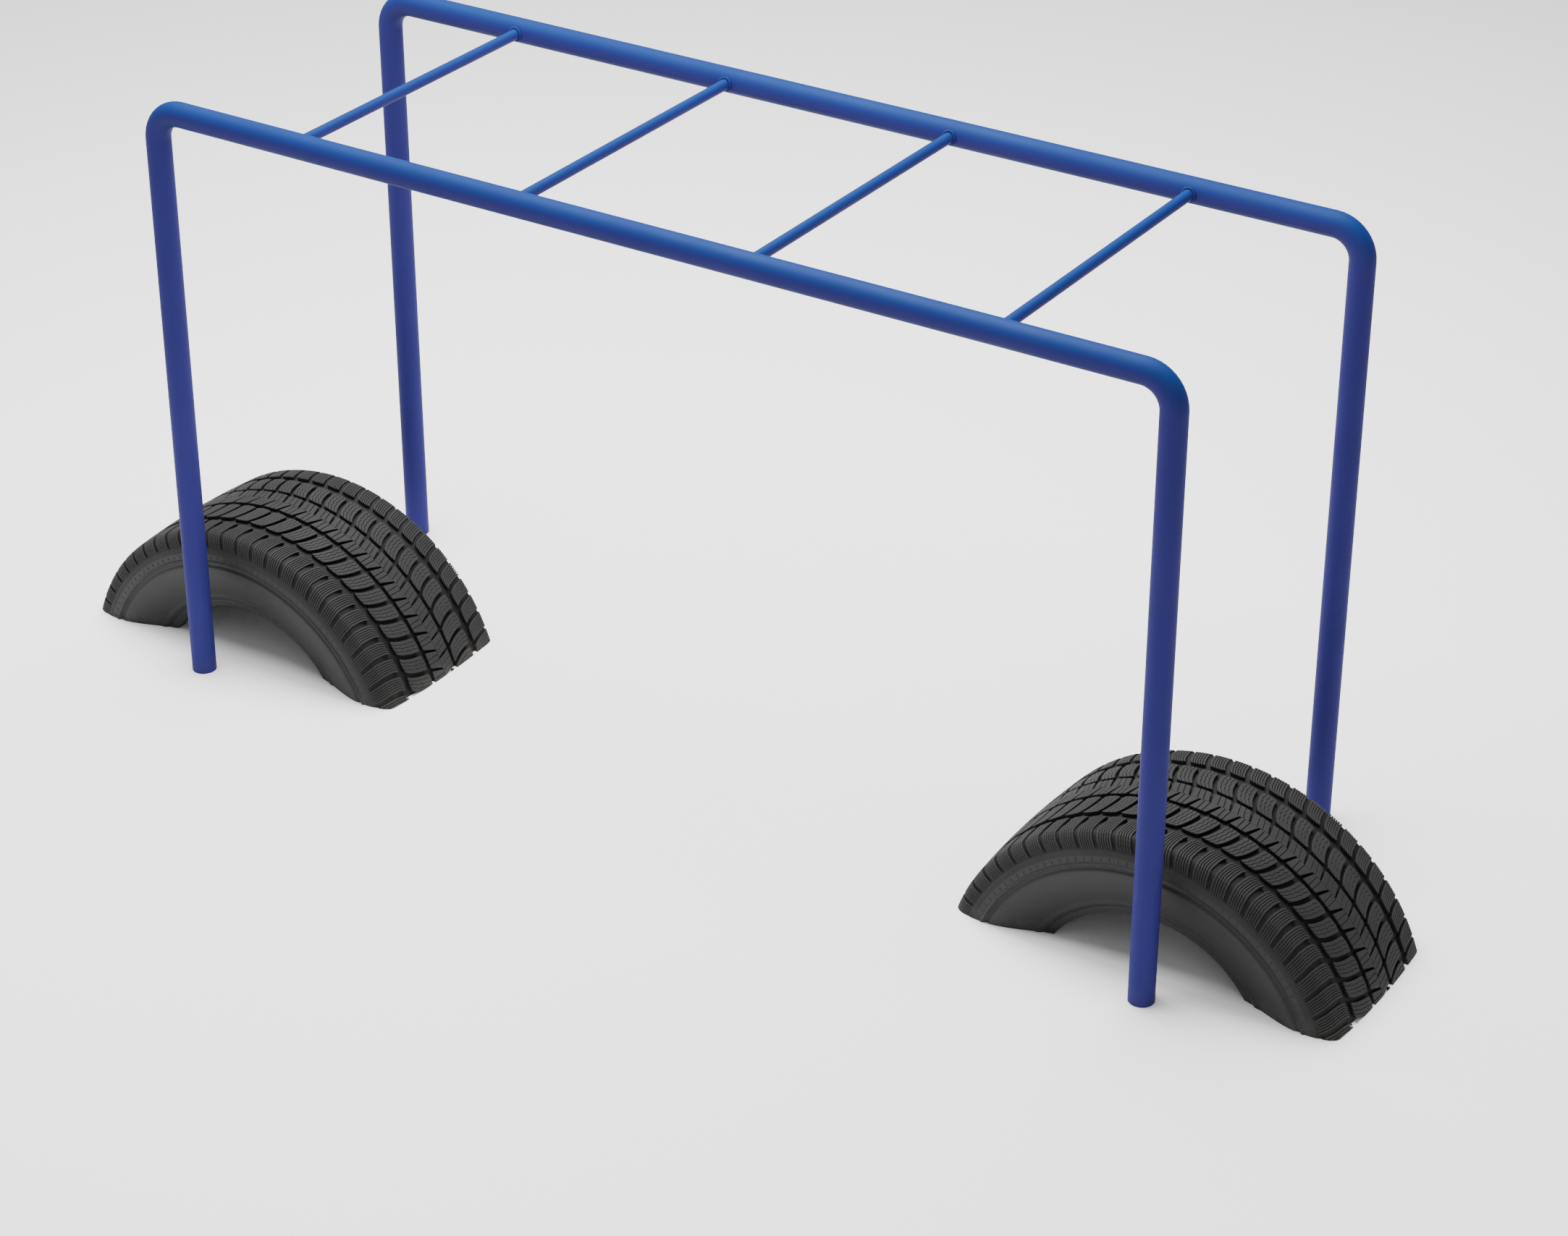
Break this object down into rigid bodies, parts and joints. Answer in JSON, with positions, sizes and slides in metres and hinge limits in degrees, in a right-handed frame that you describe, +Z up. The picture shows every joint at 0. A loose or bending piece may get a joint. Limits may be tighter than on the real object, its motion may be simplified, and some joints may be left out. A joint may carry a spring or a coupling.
{
  "type": "overhead ladder with tyre steps",
  "caption": "Low playground overhead ladder of bent round tube with welded rungs, and a half-buried tyre as a step under each end.",
  "frame": {"origin": "layout point on the ground, midway between the four posts", "axes": "+X along the rails towards the right tyre, +Y across the ladder from the front rail to the back rail, +Z up"},
  "size_m": [3.5224, 0.9302, 1.524],
  "materials": {
    "blue_powder_coat": "satin royal blue powder coat",
    "coated_weld": "powder-coated weld bead",
    "tread_rubber": "worn, dusty black rubber",
    "sidewall_rubber": "smooth matte black rubber",
    "liner_rubber": "plain ply and liner rubber",
    "steel_cord": "brass-coated steel cord",
    "bead_wire": "bronze-coated bead wire"
  },
  "bodies": {
    "root": {"front_side_frame": "blue_powder_coat", "back_side_frame": "blue_powder_coat", "rung_1": "blue_powder_coat", "weld_1_front": "coated_weld", "weld_1_back": "coated_weld", "rung_2": "blue_powder_coat", "weld_2_front": "coated_weld", "weld_2_back": "coated_weld", "rung_3": "blue_powder_coat", "weld_3_front": "coated_weld", "weld_3_back": "coated_weld", "rung_4": "blue_powder_coat", "weld_4_front": "coated_weld", "weld_4_back": "coated_weld", "left_tyre_tread": "tread_rubber", "left_tyre_belt": "steel_cord", "left_tyre_casing": "liner_rubber", "left_tyre_front_sidewall": "sidewall_rubber", "left_tyre_front_bead_core": "bead_wire", "left_tyre_back_sidewall": "sidewall_rubber", "left_tyre_back_bead_core": "bead_wire", "right_tyre_tread": "tread_rubber", "right_tyre_belt": "steel_cord", "right_tyre_casing": "liner_rubber", "right_tyre_front_sidewall": "sidewall_rubber", "right_tyre_front_bead_core": "bead_wire", "right_tyre_back_sidewall": "sidewall_rubber", "right_tyre_back_bead_core": "bead_wire"}
  },
  "joints": []
}
